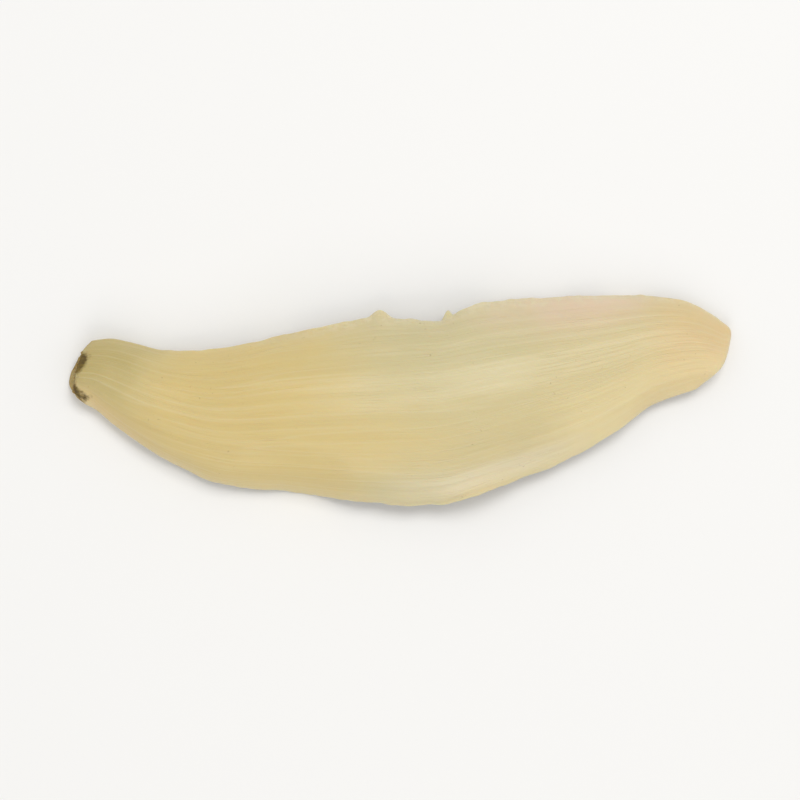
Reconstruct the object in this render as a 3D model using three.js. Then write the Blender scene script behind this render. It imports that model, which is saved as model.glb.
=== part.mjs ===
// A dried lily bulb scale: a thin, boat-shaped piece of bulb flesh, lying with its convex back up.
// It is one closed solid, in millimetres. +X runs from the broken base to the tip, +Z is up, and the
// scale rests on the plane z = 0. The origin is below the middle of its bounding box.
import * as THREE from 'three';

// Outline seen from above, as [distance from the base, sideways place].
const LEFT_MARGIN = [
  [-0.5, 1.75], [0.6, 1.9], [1.6, 2.1], [2.7, 2.15], [6.0, 1.4], [10.0, 1.5], [15.0, 2.55], [20.0, 3.6],
  [25.0, 4.35], [30.0, 4.85], [35.0, 5.1], [39.0, 5.1], [42.0, 4.75], [44.4, 3.5],
];
const RIGHT_MARGIN = [
  [-0.5, -1.95], [0.5, -2.2], [1.5, -2.65], [2.8, -3.75], [5.0, -5.3], [8.0, -6.9], [10.5, -7.8],
  [15.0, -8.3], [20.0, -8.95], [25.0, -9.15], [28.8, -8.05], [34.0, -5.95], [37.0, -4.2], [39.5, -2.4],
  [41.7, -1.55], [43.2, -1.1],
];
// Ends of the blade, as [place across from the right margin to the left, distance from the base].
const BASE_END = [[0, 0.8], [0.1, 0.15], [0.25, -0.2], [0.45, -0.08], [0.65, 0.2], [0.85, 0.55], [1, 1.2]];
const TIP_END = [[0, 42.7], [0.1, 43.5], [0.3, 44.4], [0.65, 45.0], [0.85, 45.1], [1, 44.4]];

// A tear in the left margin, the notch before it and a burr, as [middle, reach, sideways shift].
const LEFT_TEAR = [25.15, 1.7, -1.0];
const LEFT_NOTCH = [22.5, 1.8, -0.45];
const LEFT_BURR = [21.0, 0.6, 0.6];

// Shape along the blade, as [distance from the base, size].
const CROWN_HEIGHT = [
  [0, 1.35], [3, 1.55], [7, 2.25], [12, 3.2], [20, 4.2], [27, 4.3], [34, 3.7], [40, 2.8], [45, 2.0],
];
const CAMBER_DROP = [[0, 0.2], [5, 1.0], [12, 2.2], [20, 2.6], [28, 2.5], [35, 2.0], [41, 1.1], [45, 0.6]];
const MIDDLE_THICKNESS = [[0, 2.1], [5, 2.5], [12, 2.5], [22, 2.0], [32, 1.5], [40, 1.1], [45, 0.9]];
const MARGIN_THICKNESS = 0.75;
const RIM_FULLNESS = 0.25;

// The margins roll under or turn out into a lip, as [middle, reach, height].
const RIGHT_ROLL = [15.5, 6.5, -0.8];
const RIGHT_LIP = [28.4, 3.4, 0.8];
const LEFT_ROLL = [33.5, 5.5, -0.6];
const TIP_TWIST = 0.4;

// Small waves of the margins, shallow dents of the flesh, and low ribs along both faces.
const WAVE_HEIGHT = 0.2;
const WAVE_LENGTH = 8.3;
const RIPPLE_HEIGHT = 0.1;
const RIPPLE_LENGTH = 4.7;
const RIPPLE_SKEW = -2;
const DENT_DEPTH = 0.12;
const DENT_LENGTH = 13;
const DENT_SKEW = 3;
const RIB_HEIGHT = 0.04;
const RIB_COUNT = 6;

// How close a change of form keeps to the margin or the tip: the greater the power, the closer.
const WAVE_POWER = 4;
const TURN_POWER = 6;
const TEAR_POWER = 8;
const BURR_POWER = 24;
const TWIST_POWER = 4;

// The break at the base slants, so that its lower edge stands out further than its upper edge.
const BREAK_SLANT = 0.3;
const BREAK_REACH = 2.5;
// Its rim is rounded over a share of the length, down to a share of the thickness.
const BREAK_RIM_END = 0.012;
const BREAK_RIM_THICKNESS = 0.7;
// The scar is sunk a little, and its rings are shares of the broken face.
const SCAR_DEPTH = 0.15;
const SCAR_RINGS = [0.4, 0.75];

// The underside of the fleshy heel is worn flat where it rests.
const HEEL_SWELL = [2.8, 2.2, 0.5];
const HEEL_FLAT = 0.14;
const HEEL_END = 0.14;

// Mesh: [from, to, rows] in shares of the length, then the rows that round the tip's rim.
const ROW_BANDS = [
  [0.0, 0.012, 4], [0.012, 0.11, 8], [0.11, 0.43, 16], [0.43, 0.6, 15], [0.6, 0.9, 17], [0.9, 0.985, 6],
];
const TIP_RIM_START = 0.985;
const TIP_RIM_ROWS = 4;
const STEPS_ACROSS = 24;
const MID_WIDTH = 0.5;
const SURFACE_STEP = 0.001;
const SETTLING_ROUNDS = 6;

/** Smooth curve through [place, value] stations, as a function of place. */
function curveThrough(stations) {
  const slopes = stations.map((station, i) => {
    const before = stations[Math.max(i - 1, 0)];
    const after = stations[Math.min(i + 1, stations.length - 1)];
    return (after[1] - before[1]) / (after[0] - before[0]);
  });
  return (place) => {
    let i = 0;
    while (i < stations.length - 2 && place > stations[i + 1][0]) i += 1;
    const [start, startValue] = stations[i];
    const [end, endValue] = stations[i + 1];
    const span = end - start;
    const s = THREE.MathUtils.clamp((place - start) / span, 0, 1);
    const rise = s * s * (3 - 2 * s);
    const bend = span * s * (1 - s) * ((1 - s) * slopes[i] - s * slopes[i + 1]);
    return THREE.MathUtils.lerp(startValue, endValue, rise) + bend;
  };
}

const leftMargin = curveThrough(LEFT_MARGIN);
const rightMargin = curveThrough(RIGHT_MARGIN);
const baseEnd = curveThrough(BASE_END);
const tipEnd = curveThrough(TIP_END);
const crownHeight = curveThrough(CROWN_HEIGHT);
const camberDrop = curveThrough(CAMBER_DROP);
const middleThickness = curveThrough(MIDDLE_THICKNESS);

/** Soft swell round a middle, at a distance from the base. */
function swell(distance, [middle, reach, height]) {
  return height * Math.exp(-(((distance - middle) / reach) ** 2));
}

/** Bell that is 1 halfway and 0 at both ends of a share from 0 to 1. */
function bell(share) {
  return 4 * share * (1 - share);
}

/** Wave of one length in millimetres along the blade. */
function wave(distance, length, shift) {
  return Math.sin((2 * Math.PI * distance) / length + shift);
}

/** Point halfway through the blade. Along and across run from 0 to 1. */
function middlePoint(along, across) {
  const x = THREE.MathUtils.lerp(baseEnd(across), tipEnd(across), along);
  const side = 2 * across - 1;
  const toLeft = Math.max(across, 0);
  const torn = (swell(x, LEFT_TEAR) + swell(x, LEFT_NOTCH)) * toLeft ** TEAR_POWER;
  const burr = swell(x, LEFT_BURR) * toLeft ** BURR_POWER;
  const y = THREE.MathUtils.lerp(rightMargin(x), leftMargin(x), across) + torn + burr;
  const marginTurn = side > 0 ? swell(x, LEFT_ROLL) : swell(x, RIGHT_ROLL) + swell(x, RIGHT_LIP);
  const longWave = WAVE_HEIGHT * wave(x, WAVE_LENGTH, side);
  const ripple = RIPPLE_HEIGHT * wave(x, RIPPLE_LENGTH, RIPPLE_SKEW * side);
  const z = crownHeight(x)
    - camberDrop(x) * side ** 2
    + marginTurn * side ** TURN_POWER
    + (longWave + ripple) * side ** WAVE_POWER
    + DENT_DEPTH * wave(x, DENT_LENGTH, DENT_SKEW * side)
    - TIP_TWIST * side * along ** TWIST_POWER;
  return new THREE.Vector3(x, y, z);
}

/** Half of the thickness: full in the middle, thin near the margins, closing in a round rim. */
function halfThickness(along, across, distance) {
  const thickness = THREE.MathUtils.lerp(MARGIN_THICKNESS, middleThickness(distance), bell(across));
  const sideRim = bell(across) ** RIM_FULLNESS;
  const intoRim = THREE.MathUtils.clamp((along - TIP_RIM_START) / (1 - TIP_RIM_START), 0, 1);
  const tipRim = Math.sqrt(1 - intoRim ** 2);
  const intoBreak = THREE.MathUtils.clamp(1 - along / BREAK_RIM_END, 0, 1);
  const breakRim = THREE.MathUtils.lerp(BREAK_RIM_THICKNESS, 1, Math.sqrt(1 - intoBreak ** 2));
  return (thickness * sideRim * tipRim * breakRim) / 2;
}

/** Point of the back, where face is 1, or of the hollow, where face is -1. */
function facePoint(along, across, face) {
  const point = middlePoint(along, across);
  const ahead = middlePoint(along + SURFACE_STEP, across);
  const behind = middlePoint(along - SURFACE_STEP, across);
  const left = middlePoint(along, across + SURFACE_STEP);
  const right = middlePoint(along, across - SURFACE_STEP);
  const normal = ahead.sub(behind).cross(left.sub(right)).normalize();
  const rib = RIB_HEIGHT * Math.cos(2 * Math.PI * RIB_COUNT * across) * bell(across) * bell(along);
  const heel = face < 0 ? swell(point.x, HEEL_SWELL) * bell(across) : 0;
  const towardsBase = Math.max(0, 1 - point.x / BREAK_REACH);
  const slant = BREAK_SLANT * towardsBase * bell(across);
  point.addScaledVector(normal, face * (halfThickness(along, across, point.x) + rib + heel));
  point.x += face * slant;
  return point;
}

/** Shares of the length at which the rows of points lie. */
function rowPlaces() {
  const places = ROW_BANDS.flatMap(([from, to, rows]) => (
    Array.from({ length: rows }, (_, i) => THREE.MathUtils.lerp(from, to, i / rows))
  ));
  for (let i = 0; i <= TIP_RIM_ROWS; i += 1) {
    const turn = (i / TIP_RIM_ROWS) * (Math.PI / 2);
    places.push(THREE.MathUtils.lerp(TIP_RIM_START, 1, Math.sin(turn)));
  }
  return places;
}

/** Places across of one closed ring: over the back, then back through the hollow. */
function ringPlaces() {
  const size = 2 * STEPS_ACROSS;
  return Array.from({ length: size }, (_, i) => (1 - Math.cos((i / size) * 2 * Math.PI)) / 2);
}

/** One closed ring of points round the blade. */
function ring(along) {
  return ringPlaces().map((across, i) => facePoint(along, across, i <= STEPS_ACROSS ? 1 : -1));
}

/** Lowest of some points above a sloping plane. */
function lowest(points, planeHeight) {
  const clearance = (point) => point.z - planeHeight(point);
  return points.reduce((low, point) => (clearance(point) < clearance(low) ? point : low));
}

/** Plane that touches the heel and both margins, as a function that gives its height at a point. */
function restingPlane(heel, right, left) {
  let planeHeight = () => 0;
  for (let round = 0; round < SETTLING_ROUNDS; round += 1) {
    const contacts = [heel, right, left].map((zone) => lowest(zone, planeHeight).clone());
    contacts[0].z += HEEL_FLAT;
    const { normal, constant } = new THREE.Plane().setFromCoplanarPoints(...contacts);
    planeHeight = ({ x, y }) => -(constant + normal.x * x + normal.y * y) / normal.z;
  }
  return planeHeight;
}

/** Sets the rings of points down on the plane z = 0, and wears the heel flat there. */
function setDown(places, rings) {
  const heelRows = places.filter((along) => along < HEEL_END).length;
  const quarter = STEPS_ACROSS / 2;
  const heel = rings.slice(0, heelRows).flat();
  const blade = rings.slice(heelRows);
  const right = blade.flatMap((points) => [...points.slice(0, quarter), ...points.slice(-quarter)]);
  const left = blade.flatMap((points) => points.slice(quarter, -quarter));
  const planeHeight = restingPlane(heel, right, left);
  rings.flat().forEach((point) => {
    point.z -= planeHeight(point);
  });
  heel.forEach((point) => {
    point.z = Math.max(point.z, 0);
  });
}

/** Rings of the scar, from its middle outwards, sunk into the broken end and curved as it is. */
function scarRings(outer) {
  const middle = new THREE.Vector3();
  outer.forEach((point) => middle.addScaledVector(point, 1 / outer.length));
  const places = ringPlaces();
  return [0, ...SCAR_RINGS].map((share) => outer.map((point, i) => {
    const sunk = middle.clone().lerp(point, share);
    const across = THREE.MathUtils.lerp(MID_WIDTH, places[i], share);
    sunk.x = baseEnd(across) + share * (point.x - baseEnd(places[i])) + SCAR_DEPTH;
    return sunk;
  }));
}

/** Two triangles for each step round a pair of rings, split alike on the back and in the hollow. */
function band(first, second) {
  return first.flatMap((a, i) => {
    const next = (i + 1) % first.length;
    const b = first[next];
    const c = second[i];
    const d = second[next];
    return i < STEPS_ACROSS ? [a, c, d, a, d, b] : [a, c, b, b, c, d];
  });
}

/** The closed surface of the whole scale, with the origin below the middle of its box. */
function scaleGeometry() {
  const places = rowPlaces();
  const rings = places.map(ring);
  setDown(places, rings);
  const loops = [...scarRings(rings[0]), ...rings];
  const corners = loops.slice(1).flatMap((loop, i) => band(loops[i], loop));
  const geometry = new THREE.BufferGeometry().setFromPoints(corners);
  geometry.computeBoundingBox();
  const middle = geometry.boundingBox.getCenter(new THREE.Vector3());
  geometry.translate(-middle.x, -middle.y, 0);
  geometry.computeVertexNormals();
  return geometry;
}

/** Satin, waxy, cream-coloured flesh. */
function scaleMaterial() {
  return new THREE.MeshStandardMaterial({ color: 0xd9c48f, roughness: 0.5, metalness: 0 });
}

const scale = new THREE.Mesh(scaleGeometry(), scaleMaterial());
scale.name = 'bulb_scale';

const lilyBulbScale = new THREE.Group();
lilyBulbScale.add(scale);

export default lilyBulbScale;
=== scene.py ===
"""Finish of a dried lily bulb scale: its surface in fine relief, its waxy flesh, and a plain studio."""

from __future__ import annotations

import logging
import math
from collections.abc import Mapping
from dataclasses import dataclass, field
from enum import Enum

import bmesh
import bpy
import numpy as np
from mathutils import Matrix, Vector, noise


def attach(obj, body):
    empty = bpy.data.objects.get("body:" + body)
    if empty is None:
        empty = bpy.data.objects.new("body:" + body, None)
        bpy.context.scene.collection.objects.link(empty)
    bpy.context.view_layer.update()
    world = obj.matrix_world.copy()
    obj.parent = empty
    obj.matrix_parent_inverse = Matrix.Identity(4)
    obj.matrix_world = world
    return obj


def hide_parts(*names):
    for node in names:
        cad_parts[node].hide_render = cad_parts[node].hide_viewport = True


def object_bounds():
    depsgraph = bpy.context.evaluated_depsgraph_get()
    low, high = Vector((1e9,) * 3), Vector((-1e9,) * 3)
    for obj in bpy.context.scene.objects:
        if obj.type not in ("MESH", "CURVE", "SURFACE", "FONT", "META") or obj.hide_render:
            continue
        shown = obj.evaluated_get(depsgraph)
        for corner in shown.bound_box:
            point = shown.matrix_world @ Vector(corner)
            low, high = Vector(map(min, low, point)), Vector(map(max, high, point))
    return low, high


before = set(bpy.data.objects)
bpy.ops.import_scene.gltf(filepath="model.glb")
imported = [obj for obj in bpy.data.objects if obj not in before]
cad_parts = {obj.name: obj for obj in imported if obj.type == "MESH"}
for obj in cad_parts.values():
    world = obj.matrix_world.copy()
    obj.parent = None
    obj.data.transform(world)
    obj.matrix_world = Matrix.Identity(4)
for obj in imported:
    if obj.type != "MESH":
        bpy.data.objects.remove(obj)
cad_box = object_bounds()

MM = 0.001
CAD_NODE = "bulb_scale"
log = logging.getLogger(CAD_NODE)

Span = tuple[float, float]
Triple = tuple[float, float, float]
Stations = tuple[Span, ...]


class Face(Enum):
    """Face of the blade, as the sign of its direction."""

    BACK = 1.0
    HOLLOW = -1.0


# ---------------------------------------------------------------- curves and patterns, in millimetres


@dataclass(frozen=True)
class StationCurve:
    """Smooth curve through stations of place and value."""

    stations: Stations

    def __call__(self, places: np.ndarray) -> np.ndarray:
        """Values of the curve.

        Args:
            places: Places along the curve.

        Returns:
            The value at each place.
        """
        at, value = np.array(self.stations).T
        padded_at, padded_value = np.pad(at, 1, "edge"), np.pad(value, 1, "edge")
        slope = (padded_value[2:] - padded_value[:-2]) / (padded_at[2:] - padded_at[:-2])
        i = np.clip(np.searchsorted(at, places) - 1, 0, len(at) - 2)
        span = at[i + 1] - at[i]
        s = np.clip((places - at[i]) / span, 0, 1)
        rise = s * s * (3 - 2 * s)
        bend = span * s * (1 - s) * ((1 - s) * slope[i] - s * slope[i + 1])
        return value[i] * (1 - rise) + value[i + 1] * rise + bend


@dataclass(frozen=True)
class Swell:
    """Soft swell of a height round a middle place."""

    middle: float
    reach: float
    height: float

    def __call__(self, places: np.ndarray) -> np.ndarray:
        """Height of the swell at each place."""
        return self.height * np.exp(-(((places - self.middle) / self.reach) ** 2))


@dataclass(frozen=True)
class Spot:
    """Soft oval spot on the blade, with its length turned by an angle from the blade's."""

    x: float
    y: float
    length: float
    width: float
    angle: float
    strength: float

    def __call__(self, points: np.ndarray) -> np.ndarray:
        """Strength of the spot.

        Args:
            points: Points of the blade.

        Returns:
            The strength at each point, which fades outwards from the spot's own.
        """
        x, y = points[:, 0] - self.x, points[:, 1] - self.y
        turn = math.radians(self.angle)
        lengthwise = (x * math.cos(turn) + y * math.sin(turn)) / self.length
        sideways = (y * math.cos(turn) - x * math.sin(turn)) / self.width
        return self.strength * np.exp(-(lengthwise**2) - sideways**2)


@dataclass(frozen=True)
class Drift:
    """Smooth random pattern with values from about -1 to 1."""

    scale: Triple
    seed: float

    def __call__(self, places: np.ndarray) -> np.ndarray:
        """Values of the pattern.

        Args:
            places: One row of three coordinates for each value.

        Returns:
            The value at each place.
        """
        scaled = places * self.scale + (self.seed, -self.seed, 2 * self.seed)
        return np.array([noise.noise(Vector(place)) for place in scaled])


def bell(share: np.ndarray) -> np.ndarray:
    """Bell that is 1 halfway and 0 at both ends of a share from 0 to 1."""
    return 4 * share * (1 - share)


def ramp(values: np.ndarray, low: float, high: float) -> np.ndarray:
    """Straight rise from 0 at low to 1 at high."""
    return np.clip((values - low) / (high - low), 0, 1)


def wave(places: np.ndarray, length: float, shift: np.ndarray | float) -> np.ndarray:
    """Sine wave of a length along the blade."""
    return np.sin(2 * math.pi * places / length + shift)


# ---------------------------------------------------------------- the form of the scale, in millimetres


@dataclass(frozen=True)
class BladePlaces:
    """Places of the mesh's points on the blade.

    Attributes:
        along: Shares of the length, from the base to the tip.
        across: Shares of the width, from the right margin to the left.
        face: 1 on the back and -1 in the hollow.
        sheet: The same with a soft change at the margins.
        in_scar: 0 outside the broken face, and up to 1 in its middle.
    """

    along: np.ndarray
    across: np.ndarray
    face: np.ndarray
    sheet: np.ndarray
    in_scar: np.ndarray

    def shares(self) -> np.ndarray:
        """One row of the shares of length and width and the soft face for each point."""
        return np.stack((self.along, self.across, self.sheet), axis=1)


@dataclass(frozen=True)
class BladeForm:
    """Form of the blade. The greater a power, the closer its change keeps to the margin or the tip."""

    left_margin: StationCurve = StationCurve(
        (
            (-0.5, 1.75), (0.6, 1.9), (1.6, 2.1), (2.7, 2.15), (6.0, 1.4), (10.0, 1.5), (15.0, 2.55),
            (20.0, 3.6), (25.0, 4.35), (30.0, 4.85), (35.0, 5.1), (39.0, 5.1), (42.0, 4.75), (44.4, 3.5),
        )
    )
    right_margin: StationCurve = StationCurve(
        (
            (-0.5, -1.95), (0.5, -2.2), (1.5, -2.65), (2.8, -3.75), (5.0, -5.3), (8.0, -6.9), (10.5, -7.8),
            (15.0, -8.3), (20.0, -8.95), (25.0, -9.15), (28.8, -8.05), (34.0, -5.95), (37.0, -4.2),
            (39.5, -2.4), (41.7, -1.55), (43.2, -1.1),
        )
    )
    base_end: StationCurve = StationCurve(
        ((0, 0.8), (0.1, 0.15), (0.25, -0.2), (0.45, -0.08), (0.65, 0.2), (0.85, 0.55), (1, 1.2))
    )
    tip_end: StationCurve = StationCurve(
        ((0, 42.7), (0.1, 43.5), (0.3, 44.4), (0.65, 45.0), (0.85, 45.1), (1, 44.4))
    )
    left_tear: Swell = Swell(25.15, 1.7, -1.0)
    left_notch: Swell = Swell(22.5, 1.8, -0.45)
    left_burr: Swell = Swell(21.0, 0.6, 0.6)
    torn_strand: Swell = Swell(25.6, 0.22, 0.6)
    crown_height: StationCurve = StationCurve(
        ((0, 1.35), (3, 1.55), (7, 2.25), (12, 3.2), (20, 4.2), (27, 4.3), (34, 3.7), (40, 2.8), (45, 2.0))
    )
    camber_drop: StationCurve = StationCurve(
        ((0, 0.2), (5, 1.0), (12, 2.2), (20, 2.6), (28, 2.5), (35, 2.0), (41, 1.1), (45, 0.6))
    )
    middle_thickness: StationCurve = StationCurve(
        ((0, 2.1), (5, 2.5), (12, 2.5), (22, 2.0), (32, 1.5), (40, 1.1), (45, 0.9))
    )
    margin_thickness: float = 0.75
    rim_fullness: float = 0.25
    right_roll: Swell = Swell(15.5, 6.5, -0.8)
    right_lip: Swell = Swell(28.4, 3.4, 0.8)
    left_roll: Swell = Swell(33.5, 5.5, -0.6)
    tip_twist: float = 0.4
    wave_height: float = 0.2
    wave_length: float = 8.3
    ripple_height: float = 0.1
    ripple_length: float = 4.7
    ripple_skew: float = -2.0
    dent_depth: float = 0.12
    dent_length: float = 13.0
    dent_skew: float = 3.0
    rib_height: float = 0.04
    rib_count: int = 6
    wave_power: int = 4
    turn_power: int = 6
    tear_power: int = 8
    burr_power: int = 24
    strand_power: int = 60
    twist_power: int = 4
    break_slant: float = 0.3
    break_reach: float = 2.5
    break_rim_end: float = 0.012
    break_rim_thickness: float = 0.7
    heel_swell: Swell = Swell(2.8, 2.2, 0.5)
    tip_rim_start: float = 0.985
    surface_step: float = 0.001

    def distance(self, along: np.ndarray, across: np.ndarray) -> np.ndarray:
        """Distance from the base."""
        base, tip = self.base_end(across), self.tip_end(across)
        return base + along * (tip - base)

    def sideways(self, x: np.ndarray, across: np.ndarray) -> np.ndarray:
        """Sideways place between the margins, with the tear, its strand and the burr of the left one.

        Args:
            x: Distances from the base.
            across: Shares of the width.

        Returns:
            The sideways place of each point.
        """
        left, right = self.left_margin(x), self.right_margin(x)
        to_left = np.maximum(across, 0)
        torn = (self.left_tear(x) + self.left_notch(x)) * to_left**self.tear_power
        burr = self.left_burr(x) * to_left**self.burr_power
        strand = self.torn_strand(x) * to_left**self.strand_power
        return right + across * (left - right) + torn + (burr + strand)

    def middle_points(self, along: np.ndarray, across: np.ndarray) -> np.ndarray:
        """Points halfway through the blade.

        Args:
            along: Shares of the length.
            across: Shares of the width.

        Returns:
            One row of x, y and z for each point.
        """
        x = self.distance(along, across)
        side = 2 * across - 1
        turned = np.where(side > 0, self.left_roll(x), self.right_roll(x) + self.right_lip(x))
        long_wave = self.wave_height * wave(x, self.wave_length, side)
        ripple = self.ripple_height * wave(x, self.ripple_length, self.ripple_skew * side)
        z = (
            self.crown_height(x)
            - self.camber_drop(x) * side**2
            + turned * side**self.turn_power
            + (long_wave + ripple) * side**self.wave_power
            + self.dent_depth * wave(x, self.dent_length, self.dent_skew * side)
            - self.tip_twist * side * along**self.twist_power
        )
        return np.stack((x, self.sideways(x, across), z), axis=1)

    def normals(self, along: np.ndarray, across: np.ndarray) -> np.ndarray:
        """Directions out of the back.

        Args:
            along: Shares of the length.
            across: Shares of the width.

        Returns:
            One row of a unit vector's parts for each point.
        """
        step = self.surface_step
        ahead = self.middle_points(along + step, across) - self.middle_points(along - step, across)
        left = self.middle_points(along, across + step) - self.middle_points(along, across - step)
        normal = np.cross(ahead, left)
        return normal / np.linalg.norm(normal, axis=1, keepdims=True)

    def heights(self, places: BladePlaces, x: np.ndarray) -> np.ndarray:
        """Height of both faces over the middle surface.

        Args:
            places: Places on the blade.
            x: Their distances from the base.

        Returns:
            The height at each place, which closes in a round rim at the margins, the tip and the break.
        """
        belly = bell(places.across)
        thickness = self.margin_thickness + (self.middle_thickness(x) - self.margin_thickness) * belly
        into_rim = ramp(places.along, self.tip_rim_start, 1)
        into_break = 1 - ramp(places.along, 0, self.break_rim_end)
        break_rim = self.break_rim_thickness + (1 - self.break_rim_thickness) * np.sqrt(1 - into_break**2)
        half = thickness * belly**self.rim_fullness * np.sqrt(1 - into_rim**2) * break_rim / 2
        ribs = np.cos(2 * math.pi * self.rib_count * places.across) * belly * bell(places.along)
        return half + self.rib_height * ribs + np.where(places.face < 0, self.heel_swell(x) * belly, 0)


@dataclass(frozen=True)
class FleshRelief:
    """Fine relief of the dried flesh, over the form of the blade."""

    vein_count: int = 15
    vein_height: float = 0.014
    vein_sway: float = 0.5
    vein_wander: Drift = Drift((5, 2, 1), 3.1)
    vein_strength: Drift = Drift((3.5, 7, 1), 8.7)
    vein_fading: Span = (-0.5, 0.5)
    vein_reach_power: int = 6
    shrink_height: float = 0.1
    shrink: Drift = Drift((0.2, 0.5, 2), 12.4)
    wrinkle_height: float = 0.02
    wrinkle: Drift = Drift((0.55, 1.7, 2), 21.9)
    crinkle_height: float = 0.075
    crinkle: Drift = Drift((0.75, 0.3, 1), 5.3)
    crinkle_power: int = 5
    chip_depth: float = 0.15
    chip_power: int = 9
    chips: Drift = Drift((0.6, 1, 1), 31.0)
    nicks: Drift = Drift((1.45, 1, 1), 44.0)
    even_nicks: float = 0.4
    ragged_nicks: float = 1.1
    nicked_chips: Span = (-0.1, 0.4)
    nicked_stretch: Span = (23.0, 27.0)

    def veins(self, places: BladePlaces) -> np.ndarray:
        """Pattern of the lengthwise veins.

        Args:
            places: Places on the blade.

        Returns:
            1 on the crest of a strong vein, -1 halfway between two, and near 0 where they fade.
        """
        shares = places.shares()
        sway = self.vein_sway * self.vein_wander(shares)
        vein = np.cos(2 * math.pi * (self.vein_count * places.across + sway))
        strength = ramp(self.vein_strength(shares), *self.vein_fading)
        return vein * strength * (1 - (2 * places.across - 1) ** self.vein_reach_power)

    def heights(self, places: BladePlaces, middle: np.ndarray, veins: np.ndarray) -> np.ndarray:
        """Height of veins, wrinkles and dents over a smooth face.

        Args:
            places: Places on the blade.
            middle: Their points halfway through it.
            veins: The pattern of the veins there.

        Returns:
            The height at each place.
        """
        spots = np.stack((middle[:, 0], middle[:, 1], places.sheet), axis=1)
        side = np.abs(2 * places.across - 1)
        return (
            self.vein_height * veins
            + self.shrink_height * self.shrink(spots)
            + self.wrinkle_height * self.wrinkle(spots)
            + self.crinkle_height * self.crinkle(spots) * side**self.crinkle_power
        )

    def outline(self, across: np.ndarray, x: np.ndarray) -> np.ndarray:
        """Sideways shift of the worn margins.

        Args:
            across: Shares of the width.
            x: Distances from the base.

        Returns:
            The shift at each place. Past the tear, the left margin is more ragged.
        """
        side = 2 * across - 1
        spots = np.stack((x, np.sign(side), 0 * x), axis=1)
        chipped = self.chips(spots)
        ragged = np.where(side > 0, ramp(x, *self.nicked_stretch), 0) * ramp(chipped, *self.nicked_chips)
        nicked = self.even_nicks + self.ragged_nicks * ragged
        return self.chip_depth * (chipped + nicked * self.nicks(spots)) * side**self.chip_power


@dataclass(frozen=True)
class BaseScar:
    """Broken base: a sunk, torn face with stubs of strands, a browned rim and two brown stains."""

    rings: int = 26
    depth: float = 0.15
    rim_power: int = 4
    lumps: Drift = Drift((1.6, 1.6, 1.6), 2.7)
    lump_height: float = 0.1
    torn: Drift = Drift((4.2, 4.2, 4.2), 9.1)
    torn_height: float = 0.09
    strand_places: tuple[float, ...] = (-1.45, -1.0, -0.52, -0.1, 0.38, 0.85, 1.25)
    strand_level: float = 1.25
    strand_size: float = 0.13
    strand_height: float = 0.16
    stains: tuple[Spot, ...] = (Spot(0.48, 0.45, 0.85, 0.5, 61, 1.1), Spot(0.55, -1.6, 0.8, 0.4, -35, 0.75))
    stain_in_scar: float = 0.75
    stain_in_hollow: float = 0.3
    browned_rim: float = 0.45
    browning_reach: float = 0.16
    bruise: float = 0.6
    bruise_reach: float = 0.7

    def face(
        self, share: np.ndarray, across: np.ndarray, rim: np.ndarray, base_end: StationCurve
    ) -> np.ndarray:
        """Points of the broken face.

        Args:
            share: 0 in the middle of the face and 1 at its rim.
            across: Share of the width at the rim beyond each point.
            rim: The rim's point beyond each of them.
            base_end: Distance of the broken end, by the share of the width.

        Returns:
            One row of x, y and z for each point.
        """
        middle = rim.mean(axis=0)
        points = middle + (rim - middle) * share[:, None]
        inside = 1 - share**self.rim_power
        rough = self.lump_height * self.lumps(points) + self.torn_height * self.torn(points)
        flat = base_end(0.5 + (across - 0.5) * share) + share * (rim[:, 0] - base_end(across))
        points[:, 0] = flat + (self.depth + rough - self.strands(points)) * inside
        return points

    def strands(self, points: np.ndarray) -> np.ndarray:
        """Height of the stubs of strands that stand in a row across the broken face.

        Args:
            points: Points of the broken face.

        Returns:
            The height at each point.
        """
        level = (points[:, 2] - self.strand_level) / self.strand_size
        sideways = [(points[:, 1] - place) / self.strand_size for place in self.strand_places]
        return self.strand_height * sum(np.exp(-(offset**2) - level**2) for offset in sideways)

    def browning(self, points: np.ndarray, places: BladePlaces, to_rim: np.ndarray) -> np.ndarray:
        """Strength of the brown stains, which are strongest on the back, and of the browned rim.

        Args:
            points: Points of the blade.
            places: Their places on it.
            to_rim: How far each point is from the rim of the break.

        Returns:
            The strength at each point, from 0 to about 1.
        """
        on_back = (1 + places.sheet) / 2
        on_blade = self.stain_in_hollow + (1 - self.stain_in_hollow) * on_back
        strength = on_blade * (1 - places.in_scar) + self.stain_in_scar * places.in_scar
        spots = sum(spot(points) for spot in self.stains)
        return spots * strength + self.browned_rim * np.exp(-to_rim / self.browning_reach)


# ---------------------------------------------------------------- the piece


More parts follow.
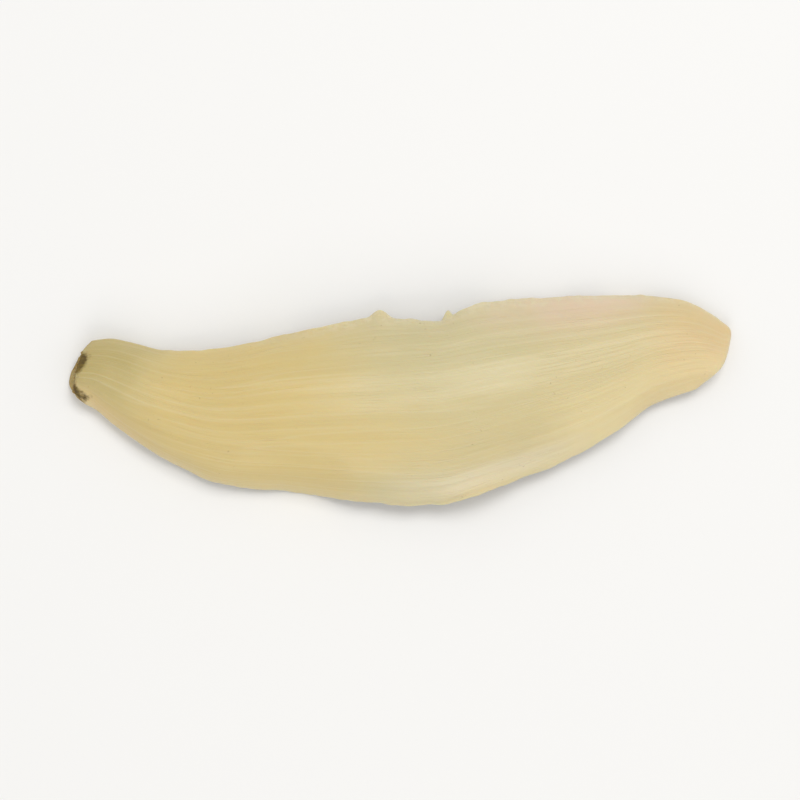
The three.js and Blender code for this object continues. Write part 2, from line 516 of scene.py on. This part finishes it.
@dataclass
class BulbScale:
    """The whole scale as one closed, finely modelled mesh.

    Its rest slopes and rest height give the plane on which the blade comes to rest, and middle is the
    middle of its box seen from above, both in the blade's own millimetres.
    """

    name: str = "dried_bulb_scale"
    form: BladeForm = field(default_factory=BladeForm)
    relief: FleshRelief = field(default_factory=FleshRelief)
    scar: BaseScar = field(default_factory=BaseScar)
    rows: int = 396
    tip_rows: int = 8
    break_rows: int = 10
    steps_across: int = 96
    sheet_change: float = 2.5
    rest_slopes: Span = (0.014804, 0.028102)
    rest_height: float = 0.08247
    middle: Span = (22.3439, -2.0147)
    weld: float = 0.0002

    def build(self) -> bpy.types.Object:
        """Makes the scale in its place.

        Returns:
            The new object, at the origin, unturned and unscaled.
        """
        bm = bmesh.new()
        self.roll(bm)
        bmesh.ops.remove_doubles(bm, verts=bm.verts, dist=self.weld)
        bmesh.ops.recalc_face_normals(bm, faces=bm.faces)
        for face in bm.faces:
            face.smooth = True
        bmesh.ops.scale(bm, vec=(MM, MM, MM), verts=bm.verts)
        mesh = bpy.data.meshes.new(self.name)
        bm.to_mesh(mesh)
        bm.free()
        piece = bpy.data.objects.new(self.name, mesh)
        bpy.context.collection.objects.link(piece)
        return piece

    def row_places(self) -> np.ndarray:
        """Places of the rows along the blade.

        Returns:
            Shares of the length: the scar's at 0, and both rims in small steps.
        """
        first, last = self.form.break_rim_end, self.form.tip_rim_start
        broken = first * (1 - np.cos(np.linspace(0, math.pi / 2, self.break_rows + 1)))
        blade = np.linspace(first, last, self.rows - self.tip_rows - self.break_rows + 1)
        tip = last + (1 - last) * np.sin(np.linspace(0, math.pi / 2, self.tip_rows + 1))
        return np.concatenate((np.zeros(self.scar.rings), broken[:-1], blade[:-1], tip))

    def lay_grid(self, bm: bmesh.types.BMesh) -> BladePlaces:
        """Lays a flat grid whose rows will run round the blade.

        Args:
            bm: The empty mesh to build in.

        Returns:
            Where the grid's points go on the blade.
        """
        row_places = self.row_places()
        last_row = len(row_places) - 1
        bmesh.ops.create_grid(bm, x_segments=2 * self.steps_across, y_segments=last_row, size=1)
        grid = np.array([vert.co for vert in bm.verts])
        row = np.rint((grid[:, 1] + 1) / 2 * last_row).astype(int)
        turn = (grid[:, 0] + 1) * math.pi
        return BladePlaces(
            along=row_places[row],
            across=(1 - np.cos(turn)) / 2,
            face=np.where(turn <= math.pi, Face.BACK.value, Face.HOLLOW.value),
            sheet=np.clip(self.sheet_change * np.sin(turn), -1, 1),
            in_scar=np.clip(1 - row / self.scar.rings, 0, 1),
        )

    def roll(self, bm: bmesh.types.BMesh) -> None:
        """Rolls a flat grid into the closed blade, sets it down and gives its points their traits.

        Args:
            bm: The empty mesh to build in.
        """
        layers = bm.verts.layers
        fibre, wear = layers.float_vector.new("fibre"), layers.float_vector.new("wear")
        veined = layers.float.new("vein")
        places = self.lay_grid(bm)
        veins = self.relief.veins(places)
        points = self.blade_points(places, veins)
        scarred = places.in_scar > 0
        to_rim, across = 1 - places.in_scar[scarred], places.across[scarred]
        points[scarred] = self.scar.face(to_rim, across, points[scarred], self.form.base_end)
        traits = self.wear(points, places)
        self.set_down(points)
        for vert, point, shares, trait, vein in zip(bm.verts, points, places.shares(), traits, veins):
            vert.co = point
            vert[fibre] = shares
            vert[wear] = trait
            vert[veined] = vein

    def blade_points(self, places: BladePlaces, veins: np.ndarray) -> np.ndarray:
        """Points of the back and the hollow, with their relief.

        Args:
            places: Places on the blade.
            veins: The pattern of the veins there.

        Returns:
            One row of x, y and z for each point.
        """
        form, relief = self.form, self.relief
        middle = form.middle_points(places.along, places.across)
        x = middle[:, 0]
        fading = np.sqrt(bell(places.along).clip(0, 1))
        fine = relief.heights(places, middle, veins) * places.sheet * fading
        height = places.face * form.heights(places, x) + fine
        points = middle + form.normals(places.along, places.across) * height[:, None]
        near_base = np.maximum(0, 1 - x / form.break_reach)
        points[:, 0] += places.face * form.break_slant * near_base * bell(places.across)
        points[:, 1] += relief.outline(places.across, x) * bell(places.along)
        return points

    def wear(self, points: np.ndarray, places: BladePlaces) -> np.ndarray:
        """Nearness of the rims, the scar and its stains.

        Args:
            points: Points of the finished blade.
            places: Their places on it.

        Returns:
            One row of three shares for each point.
        """
        form, scar, across = self.form, self.scar, places.across
        x = points[:, 0]
        width = form.left_margin(x) - form.right_margin(x)
        to_margin = np.minimum(across, 1 - across) * width
        from_base = form.distance(places.along, across)
        to_tip = form.tip_end(across) - from_base
        rim = np.exp(-np.minimum(to_margin, to_tip))
        from_break = from_base - form.base_end(across)
        bruised = np.where(places.in_scar > 0, 1, scar.bruise * np.exp(-from_break / scar.bruise_reach))
        # Within the scar, in_scar stands for the distance to its rim.
        stained = scar.browning(points, places, from_break + places.in_scar)
        return np.stack((rim, bruised, stained), axis=1)

    def set_down(self, points: np.ndarray) -> None:
        """Levels the points on the plane that the scale rests on, and flattens what would sink into it.

        Args:
            points: Points of the blade, which are moved.
        """
        points[:, 2] -= points[:, :2] @ self.rest_slopes + self.rest_height
        points[:, 2] = points[:, 2].clip(0)
        points[:, :2] -= self.middle


# ---------------------------------------------------------------- shader maths


@dataclass(frozen=True)
class Wire:
    """Output of a shader node, with arithmetic that adds Math nodes."""

    tree: ShaderTree
    socket: bpy.types.NodeSocket

    def maths(self, operation: str, *values: Wire | float) -> Wire:
        """Result of one Math node."""
        return self.tree.make("ShaderNodeMath", {"operation": operation}, dict(enumerate(values)))

    def __add__(self, other: Wire | float) -> Wire:
        """Sum."""
        return self.maths("ADD", self, other)

    def __radd__(self, other: float) -> Wire:
        """Sum with a number in front."""
        return self.maths("ADD", other, self)

    def __sub__(self, other: Wire | float) -> Wire:
        """Difference."""
        return self.maths("SUBTRACT", self, other)

    def __rsub__(self, other: float) -> Wire:
        """Difference from a number."""
        return self.maths("SUBTRACT", other, self)

    def __mul__(self, other: Wire | float) -> Wire:
        """Product."""
        return self.maths("MULTIPLY", self, other)

    def __rmul__(self, other: float) -> Wire:
        """Product with a number in front."""
        return self.maths("MULTIPLY", other, self)

    def __pow__(self, other: float) -> Wire:
        """Power."""
        return self.maths("POWER", self, other)

    def __neg__(self) -> Wire:
        """Opposite."""
        return 0 - self

    def __abs__(self) -> Wire:
        """Size without the sign."""
        return self.maths("ABSOLUTE", self)

    def between(self, low: float, high: float) -> Wire:
        """Smooth step from 0 at low to 1 at high."""
        inputs = {"Value": self, "From Min": low, "From Max": high}
        return self.tree.make("ShaderNodeMapRange", {"interpolation_type": "SMOOTHSTEP"}, inputs)

    def ridge(self, width: float) -> Wire:
        """Thin lines where a pattern from 0 to 1 passes its middle value."""
        return 1 - abs(self - 0.5).between(0, width)

    def parts(self) -> tuple[Wire, Wire, Wire]:
        """The three parts of a vector."""
        split = self.tree.make("ShaderNodeSeparateXYZ", {}, {"Vector": self})
        return tuple(Wire(self.tree, socket) for socket in split.socket.node.outputs)


@dataclass(frozen=True)
class NoiseForm:
    """Form of a fractal noise: its changes per unit in each direction, its detail and its roughness."""

    scale: Triple
    detail: float
    roughness: float = 0.5


@dataclass(frozen=True)
class Fade:
    """Soft change from 0 to 1 with a value: a rise between two values, a fall between two, or both."""

    rise: Span | None = None
    fall: Span | None = None

    def __call__(self, value: Wire) -> Wire:
        """Share from 0 to 1 at a value."""
        risen = value.between(*self.rise) if self.rise else 1
        return risen * (1 - value.between(*self.fall)) if self.fall else risen


@dataclass(frozen=True)
class Mask:
    """Strength of a layer of colour, which fades with one value or more."""

    strength: float
    fades: tuple[Fade, ...]

    def __call__(self, *values: Wire) -> Wire:
        """Strength of the layer.

        Args:
            *values: One value for each fade.

        Returns:
            The strength at the values.
        """
        result = self.strength
        for fade, value in zip(self.fades, values, strict=True):
            result = fade(value) * result
        return result


class ShaderTree:
    """Node tree of a new material."""

    MIX_FACTOR = 0
    MIX_COLOURS = (6, 7)
    MIX_RESULT = 2

    def __init__(self, name: str) -> None:
        """Makes an empty node material.

        Args:
            name: The material's name.
        """
        self.material = bpy.data.materials.new(name)
        self.material.use_nodes = True
        self.nodes = self.material.node_tree.nodes
        self.links = self.material.node_tree.links
        self.nodes.clear()

    def make(
        self,
        kind: str,
        settings: Mapping[str, object] | None = None,
        inputs: Mapping[int | str, object] | None = None,
        output: int | str = 0,
    ) -> Wire | None:
        """Adds a node.

        Args:
            kind: The node's type.
            settings: Its properties, which are set first.
            inputs: Values or wires of its sockets, by name or number.
            output: Name or number of the output to hand back.

        Returns:
            The chosen output, or None for a node without outputs.
        """
        node = self.nodes.new(kind)
        for key, value in (settings or {}).items():
            setattr(node, key, value)
        for key, value in (inputs or {}).items():
            if isinstance(value, Wire):
                self.links.new(value.socket, node.inputs[key])
            else:
                node.inputs[key].default_value = value
        return Wire(self, node.outputs[output]) if len(node.outputs) else None

    def mix(self, first: Wire | Triple, second: Wire | Triple, factor: Wire | float) -> Wire:
        """Mix of two colours.

        Args:
            first: The colour at 0.
            second: The colour at 1.
            factor: The share of the second.

        Returns:
            The mixed colour.
        """
        colours = (colour if isinstance(colour, Wire) else (*colour, 1) for colour in (first, second))
        inputs = {self.MIX_FACTOR: factor, **dict(zip(self.MIX_COLOURS, colours))}
        return self.make("ShaderNodeMix", {"data_type": "RGBA"}, inputs, self.MIX_RESULT)

    def noise(self, vector: Wire, form: NoiseForm) -> Wire:
        """Fractal noise.

        Args:
            vector: The places.
            form: The noise's form.

        Returns:
            A value from 0 to 1 at each place.
        """
        scaled = self.make("ShaderNodeVectorMath", {"operation": "MULTIPLY"}, {0: vector, 1: form.scale})
        inputs = {"Vector": scaled, "Scale": 1.0, "Detail": form.detail, "Roughness": form.roughness}
        return self.make("ShaderNodeTexNoise", {}, inputs)

    def attribute(self, name: str, output: str = "Vector") -> Wire:
        """Attribute of the piece's own mesh, as a vector, or as a number by the output Fac."""
        return self.make("ShaderNodeAttribute", {"attribute_name": name}, output=output)

    def finish(self, **sockets: object) -> bpy.types.Material:
        """Closes the tree with the surface.

        Args:
            **sockets: Values or wires of the surface's sockets, with _ for each space.

        Returns:
            The finished material.
        """
        inputs = {name.replace("_", " "): value for name, value in sockets.items()}
        surface = self.make("ShaderNodeBsdfPrincipled", {}, inputs)
        self.make("ShaderNodeOutputMaterial", {}, {"Surface": surface})
        return self.material


# ---------------------------------------------------------------- the flesh

Layer = tuple[Wire | Triple, Wire]


@dataclass(frozen=True)
class FleshColours:
    """Colours of dried bulb flesh, with the painted shade and light laid on it."""

    golden: Triple = (0.655, 0.512, 0.210)
    cream: Triple = (0.62, 0.525, 0.278)
    greenish: Triple = (0.59, 0.530, 0.300)
    pinkish: Triple = (0.77, 0.575, 0.46)
    peach: Triple = (0.705, 0.535, 0.275)
    buttery: Triple = (0.80, 0.68, 0.375)
    pale: Triple = (0.72, 0.64, 0.43)
    deep_gold: Triple = (0.50, 0.34, 0.115)
    neck: Triple = (0.575, 0.475, 0.212)
    # Painted shade that darkens the left side of the neck.
    painted_neck_shade: Triple = (0.42, 0.335, 0.11)
    # Peach tint of the lower neck, and painted light that brightens it.
    neck_blush_and_painted_light: Triple = (0.79, 0.55, 0.23)
    speck: Triple = (0.26, 0.15, 0.05)
    torn: Triple = (0.40, 0.30, 0.11)
    stain: Triple = (0.18, 0.117, 0.012)
    stain_core: Triple = (0.07, 0.042, 0.006)


@dataclass(frozen=True)
class FleshNoises:
    """Noises of the flesh: fibres to wrinkles by the shares of the blade, and the others by metres."""

    fibres: NoiseForm = NoiseForm((5, 85, 3), 4, 0.6)
    strands: NoiseForm = NoiseForm((2.5, 26, 2), 3, 0.55)
    threads: NoiseForm = NoiseForm((1.7, 17, 2), 1)
    thread_width: float = 0.03
    wrinkles: NoiseForm = NoiseForm((4, 38, 2), 2)
    wrinkle_width: float = 0.05
    wrinkled: Fade = Fade((0.42, 0.62))
    clouds: NoiseForm = NoiseForm((170, 170, 170), 3, 0.55)
    blotches: NoiseForm = NoiseForm((90, 150, 150), 2)
    grain: NoiseForm = NoiseForm((2800, 2800, 2800), 3, 0.6)
    crumbs: NoiseForm = NoiseForm((1500, 1500, 1500), 5, 0.65)
    edge_drift: float = 0.2


class FleshPatterns:
    """Traits of the piece and patterns of noise that the flesh's layers and relief are made from."""

    def __init__(self, tree: ShaderTree, noises: FleshNoises) -> None:
        """Reads the piece's own attributes and adds the noises.

        Args:
            tree: The material's tree.
            noises: The forms of the noises.
        """
        self.tree = tree
        place = tree.make("ShaderNodeTexCoord", output="Object")
        fibre = tree.attribute("fibre")
        self.along, self.across, self.sheet = fibre.parts()
        self.rim, self.scar, self.stain = tree.attribute("wear").parts()
        self.vein = tree.attribute("vein", "Fac")
        self.hollow = (0.5 - 0.5 * self.sheet) * (1 - self.rim)
        self.fibres = tree.noise(fibre, noises.fibres)
        self.strands = tree.noise(fibre, noises.strands)
        self.clouds = tree.noise(place, noises.clouds)
        self.blotches = tree.noise(place, noises.blotches)
        self.grain = tree.noise(place, noises.grain)
        self.crumbs = tree.noise(place, noises.crumbs)
        self.threads = tree.noise(fibre, noises.threads).ridge(noises.thread_width)
        creases = tree.noise(fibre, noises.wrinkles).ridge(noises.wrinkle_width)
        self.wrinkles = creases * noises.wrinkled(self.clouds)
        drift = noises.edge_drift * (self.clouds - 0.5)
        self.length = self.along + drift
        self.width = self.across + drift


@dataclass(frozen=True)
class FleshPatches:
    """Large soft patches over the golden ground, some of them painted light and shade. Most fade with the
    length, then with the width.
    """

    cream: Mask = Mask(1, (Fade((0.37, 0.73)),))
    cream_slant: float = 0.12
    green: Mask = Mask(0.5, (Fade((0.27, 0.55), (0.6, 0.88)), Fade((0.25, 0.75))))
    pink: Mask = Mask(0.65, (Fade((0.56, 0.74), (0.8, 0.95)), Fade((0.65, 0.97))))
    peach: Mask = Mask(1, (Fade((0.82, 1.0)),))
    butter: Mask = Mask(0.6, (Fade((0.7, 0.8)), Fade(fall=(0.2, 0.6))))
    # Painted shade: deep gold by the right margin near the tip, where the surface turns down.
    painted_tip_shade: Mask = Mask(0.2, (Fade((0.84, 0.92)), Fade(fall=(0.1, 0.3))))
    neck: Mask = Mask(1, (Fade(fall=(0.04, 0.2)),))
    # Peach tint of the lower neck, and painted light that brightens it.
    neck_blush_and_painted_light: Mask = Mask(0.55, (Fade(fall=(0.04, 0.2)), Fade(fall=(0.1, 0.45))))
    # Painted shade over the left side of the neck.
    painted_neck_shade: Mask = Mask(0.75, (Fade(fall=(0.02, 0.13)), Fade((0.15, 0.7))))
    olive: Mask = Mask(0.7, (Fade((0.4, 0.5), (0.56, 0.64)), Fade(fall=(0.1, 0.3))))
    # Painted highlight: a pale gloss band along the right margin, standing in for the sheen there.
    painted_gloss_band: Mask = Mask(
        0.68, (Fade((0.44, 0.62), (0.7, 0.84)), Fade((0.01, 0.07), (0.12, 0.22)), Fade((0, 1)))
    )
    painted_gloss_band_evenness: float = 0.75

    def layers(self, flesh: FleshPatterns, colours: FleshColours) -> list[Layer]:
        """Patches from the first laid to the last.

        Args:
            flesh: Traits and patterns of the flesh.
            colours: Its colours.

        Returns:
            The colour and the strength of each layer.
        """
        length, width, along, across = flesh.length, flesh.width, flesh.along, flesh.across
        return [
            (colours.cream, self.cream(length + self.cream_slant * across)),
            (colours.greenish, self.green(length, width) * (1 + flesh.blotches)),
            (colours.pinkish, self.pink(length, width)),
            (colours.peach, self.peach(length)),
            (colours.buttery, self.butter(length, width)),
            # Painted shade by the right margin near the tip.
            (colours.deep_gold, self.painted_tip_shade(length, across)),
            (colours.neck, self.neck(length)),
            # Peach tint and painted light on the lower neck.
            (colours.neck_blush_and_painted_light, self.neck_blush_and_painted_light(length, across)),
            # Painted shade over the left side of the neck.
            (colours.painted_neck_shade, self.painted_neck_shade(length, across)),
            (colours.greenish, self.olive(along, across)),
            # Painted highlight: the pale gloss band along the right margin.
            (colours.pale, self.painted_gloss_band(along, across, flesh.sheet) * (self.painted_gloss_band_evenness + flesh.strands)),
        ]


@dataclass(frozen=True)
class FleshLines:
    """Golden cast of the hollow, and the strands, veins, threads and wrinkles that run lengthwise."""

    hollow_gold: float = 0.3
    hollow_clouds: float = 0.55
    strands: Mask = Mask(0.12, (Fade((0.5, 0.75)),))
    vein_crests: Mask = Mask(1, (Fade((0.1, 0.5)),))
    vein_valleys: Mask = Mask(0.3, (Fade((0.2, 0.9)),))
    vein_strength: float = 0.2
    hollow_veins: float = 0.12
    threads: float = 0.14
    wrinkles: float = 0.1

    def layers(self, flesh: FleshPatterns, colours: FleshColours) -> list[Layer]:
        """Lines from the first laid to the last.

        Args:
            flesh: Traits and patterns of the flesh.
            colours: Its colours.

        Returns:
            The colour and the strength of each layer.
        """
        lined = self.vein_strength + self.hollow_veins * flesh.hollow
        return [
            (colours.deep_gold, flesh.hollow * (self.hollow_gold + self.hollow_clouds * flesh.clouds)),
            (colours.pale, self.strands(flesh.strands)),
            (colours.pale, self.vein_crests(flesh.vein * flesh.fibres) * lined),
            (colours.deep_gold, self.vein_valleys(-flesh.vein) * lined),
            (colours.pale, flesh.threads * self.threads),
            (colours.deep_gold, flesh.wrinkles * self.wrinkles),
        ]


@dataclass(frozen=True)
class FleshWearAndRimHighlight:
    """Crumbled left rim, gaps of the fibres, pale rims with painted highlight, specks, and the torn scar with
    its stains.
    """

    left_rim: Mask = Mask(1, (Fade((0.9, 0.985)), Fade((0.2, 0.45))))
    left_rim_paleness: float = 0.15
    crumbled: Fade = Fade((0.42, 0.62))
    crumb_paleness: float = 0.5
    fibre_gaps: Mask = Mask(0.09, (Fade(fall=(0.3, 0.5)),))
    # Pale rims: the thin margins' own paleness, and painted highlight where the rims catch light.
    pale_rim_and_highlight: float = 0.45
    pale_rim_and_highlight_lost: float = 0.25
    specks: Mask = Mask(0.5, (Fade((0.68, 0.74)), Fade((0.5, 0.62))))
    torn: Mask = Mask(1, (Fade((0.85, 1.3)),))
    torn_gold: Mask = Mask(0.6, (Fade((0.5, 0.6)),))
    stained: Fade = Fade((1.05, 1.65))
    stain_crumbs: float = 1.6
    stain_strength: float = 0.95
    mottled: Fade = Fade((0.84, 1.2))

    def crumbled_rim(self, flesh: FleshPatterns) -> Wire:
        """Crumbs along the left rim."""
        return self.left_rim(flesh.across, flesh.along) * self.crumbled(flesh.crumbs)

    def stains(self, flesh: FleshPatterns) -> Wire:
        """Ragged brown stains of the base."""
        return self.stained(flesh.stain + self.stain_crumbs * flesh.crumbs)

    def layers(self, flesh: FleshPatterns, colours: FleshColours) -> list[Layer]:
        """Marks of wear from the first laid to the last.

        Args:
            flesh: Traits and patterns of the flesh.
            colours: Its colours.

        Returns:
            The colour and the strength of each layer.
        """
        left_rim = self.left_rim(flesh.across, flesh.along) * self.left_rim_paleness
        pale_rim_and_highlight = self.pale_rim_and_highlight - self.pale_rim_and_highlight_lost * flesh.across
        mottled = self.mottled(flesh.strands + flesh.crumbs)
        stain = flesh.tree.mix(colours.stain, colours.stain_core, mottled)
        return [
            (colours.pale, left_rim + self.crumbled_rim(flesh) * self.crumb_paleness),
            (colours.deep_gold, self.fibre_gaps(flesh.fibres)),
            # Pale rims, partly painted rim highlight.
            (colours.pale, flesh.rim**2 * pale_rim_and_highlight),
            (colours.speck, self.specks(flesh.grain, flesh.clouds)),
            (colours.torn, self.torn(flesh.scar + flesh.crumbs)),
            (colours.deep_gold, self.torn_gold(flesh.crumbs) * flesh.scar),
            (stain, self.stains(flesh) * self.stain_strength),
        ]


@dataclass(frozen=True)
class FleshSurface:
    """Fine bumps of the flesh, as shares of their depth in metres, and its roughness and coat."""

    fibre_height: float = 0.5
    strand_height: float = 0.5
    grain_height: float = 0.25
    thread_height: float = 0.12
    wrinkle_depth: float = 0.2
    crumb_height: float = 0.25
    torn_height: float = 2.5
    torn: Fade = Fade((0.4, 1))
    bump_strength: float = 0.5
    bump_depth: float = 0.00012
    even_roughness: float = 0.36
    fibre_roughness: float = 0.12
    grain_roughness: float = 0.14
    scar_roughness: float = 0.3
    stain_roughness: float = 0.2
    even_coat: float = 0.15

    def bumps(self, flesh: FleshPatterns, crumbled_rim: Wire) -> Wire:
        """Normals of the bumpy surface.

        Args:
            flesh: Traits and patterns of the flesh.
            crumbled_rim: Crumbs along the left rim.

        Returns:
            The normals.
        """
        height = (
            self.fibre_height * flesh.fibres
            + self.strand_height * flesh.strands
            + self.grain_height * flesh.grain
            + self.torn_height * (self.torn(flesh.scar) * flesh.crumbs)
            + self.thread_height * flesh.threads
            - self.wrinkle_depth * flesh.wrinkles
            + self.crumb_height * crumbled_rim
        )
        inputs = {"Strength": self.bump_strength, "Distance": self.bump_depth, "Height": height}
        return flesh.tree.make("ShaderNodeBump", {}, inputs)

    def roughness(self, flesh: FleshPatterns, stains: Wire) -> Wire:
        """Roughness, which is greatest in the scar and its stains."""
        grainy = self.fibre_roughness * flesh.fibres + self.grain_roughness * flesh.grain
        return self.even_roughness + grainy + self.scar_roughness * flesh.scar + self.stain_roughness * stains

    def coat(self, stains: Wire) -> Wire:
        """Weight of the waxy coat, which the stains lack."""
        return self.even_coat * (1 - stains)


@dataclass(frozen=True)
class FleshFinish:
    """Dried bulb flesh: waxy and satin, cream with golden, greenish and pinkish patches."""

    colours: FleshColours = FleshColours()
    noises: FleshNoises = FleshNoises()
    patches: FleshPatches = FleshPatches()
    lines: FleshLines = FleshLines()
    wear: FleshWearAndRimHighlight = FleshWearAndRimHighlight()
    surface: FleshSurface = FleshSurface()
    refraction: float = 1.5
    coat_roughness: float = 0.3
    glow: float = 0.3
    glow_radius: Triple = (1.0, 0.6, 0.25)
    glow_scale: float = 0.0012

    def material(self) -> bpy.types.Material:
        """Builds the flesh's material.

        Returns:
            The material, which reads the piece's own attributes.
        """
        tree = ShaderTree("dried_bulb_flesh")
        flesh = FleshPatterns(tree, self.noises)
        colour = self.colours.golden
        for finish in (self.patches, self.lines, self.wear):
            for cover, strength in finish.layers(flesh, self.colours):
                colour = tree.mix(colour, cover, strength)
        stains = self.wear.stains(flesh)
        return tree.finish(
            Base_Color=colour,
            Roughness=self.surface.roughness(flesh, stains),
            IOR=self.refraction,
            Coat_Weight=self.surface.coat(stains),
            Coat_Roughness=self.coat_roughness,
            Subsurface_Weight=self.glow,
            Subsurface_Radius=self.glow_radius,
            Subsurface_Scale=self.glow_scale,
            Normal=self.surface.bumps(flesh, self.wear.crumbled_rim(flesh)),
        )


# ---------------------------------------------------------------- the studio


@dataclass(frozen=True)
class FloorFinish:
    """Plain pale paper."""

    colour: Triple = (0.86, 0.86, 0.855)
    roughness: float = 0.85

    def material(self) -> bpy.types.Material:
        """Builds the floor's material."""
        return ShaderTree("pale_floor").finish(Base_Color=(*self.colour, 1), Roughness=self.roughness)


@dataclass(frozen=True)
class SoftLight:
    """Square soft light that points at the scale."""

    name: str
    place: Triple
    size: float
    power: float
    colour: Triple

    def build(self, target: Vector) -> None:
        """Adds the light to the scene.

        Args:
            target: The point that it lights.
        """
        data = bpy.data.lights.new(self.name, "AREA")
        data.shape = "SQUARE"
        data.size = self.size
        data.energy = self.power
        data.color = self.colour
        light = bpy.data.objects.new(self.name, data)
        light.location = self.place
        light.rotation_euler = (target - light.location).to_track_quat("-Z", "Y").to_euler()
        bpy.context.collection.objects.link(light)


@dataclass(frozen=True)
class Studio:
    """Pale floor, soft light from the upper left, and a camera that looks straight down."""

    floor_size: float = 1.6
    frame_width: float = 0.0535
    lens: float = 100.0
    sensor: float = 36.0
    nearest: float = 0.01
    sky: Triple = (1.0, 0.995, 0.985)
    sky_strength: float = 0.58
    lights: tuple[SoftLight, ...] = (
        SoftLight("window", (0.1, 0.2, 0.43), 0.22, 1.1, (1.0, 0.985, 0.96)),
        SoftLight("bounce", (-0.04, -0.38, 0.28), 0.24, 0.5, (1.0, 0.985, 0.96)),
    )

    def build(self, low: Vector, high: Vector) -> None:
        """Adds floor, sky, lights and camera to the scene.

        Args:
            low: Lowest corner of the scale's box.
            high: Its highest corner.
        """
        middle = (low + high) / 2
        self.lay_floor(low.z)
        self.light_sky()
        for light in self.lights:
            light.build(middle)
        self.hang_camera(middle, high.z)

    def lay_floor(self, height: float) -> None:
        """Lays the floor under the scale.

        Args:
            height: The floor's height.
        """
        bm = bmesh.new()
        bmesh.ops.create_grid(bm, x_segments=1, y_segments=1, size=self.floor_size / 2)
        bmesh.ops.translate(bm, vec=(0, 0, height), verts=bm.verts)
        mesh = bpy.data.meshes.new("floor")
        bm.to_mesh(mesh)
        bm.free()
        mesh.materials.append(FloorFinish().material())
        floor = bpy.data.objects.new("floor", mesh)
        bpy.context.collection.objects.link(floor)

    def light_sky(self) -> None:
        """Fills the room with even, faint light."""
        world = bpy.data.worlds.new("soft_room")
        world.use_nodes = True
        background = world.node_tree.nodes["Background"]
        background.inputs["Color"].default_value = (*self.sky, 1)
        background.inputs["Strength"].default_value = self.sky_strength
        bpy.context.scene.world = world

    def hang_camera(self, middle: Vector, top: float) -> None:
        """Hangs the camera over the scale, with the tip to the right.

        Args:
            middle: Middle of the scale.
            top: Height of the scale's crown.
        """
        data = bpy.data.cameras.new("camera")
        data.lens = self.lens
        data.sensor_width = self.sensor
        data.clip_start = self.nearest
        camera = bpy.data.objects.new("camera", data)
        reach = self.frame_width / self.sensor * self.lens
        camera.location = (middle.x, middle.y, top + reach)
        bpy.context.collection.objects.link(camera)
        bpy.context.scene.camera = camera


def main() -> None:
    """Builds the scale and its studio."""
    logging.basicConfig(level=logging.INFO, format="%(name)s: %(message)s")
    bpy.context.scene.view_settings.view_transform = "Standard"
    piece = BulbScale().build()
    piece.data.materials.append(FleshFinish().material())
    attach(piece, "root")
    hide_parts(CAD_NODE)
    log.info("%s has %d faces", piece.name, len(piece.data.polygons))
    Studio().build(*cad_box)


if __name__ == "__main__":
    main()
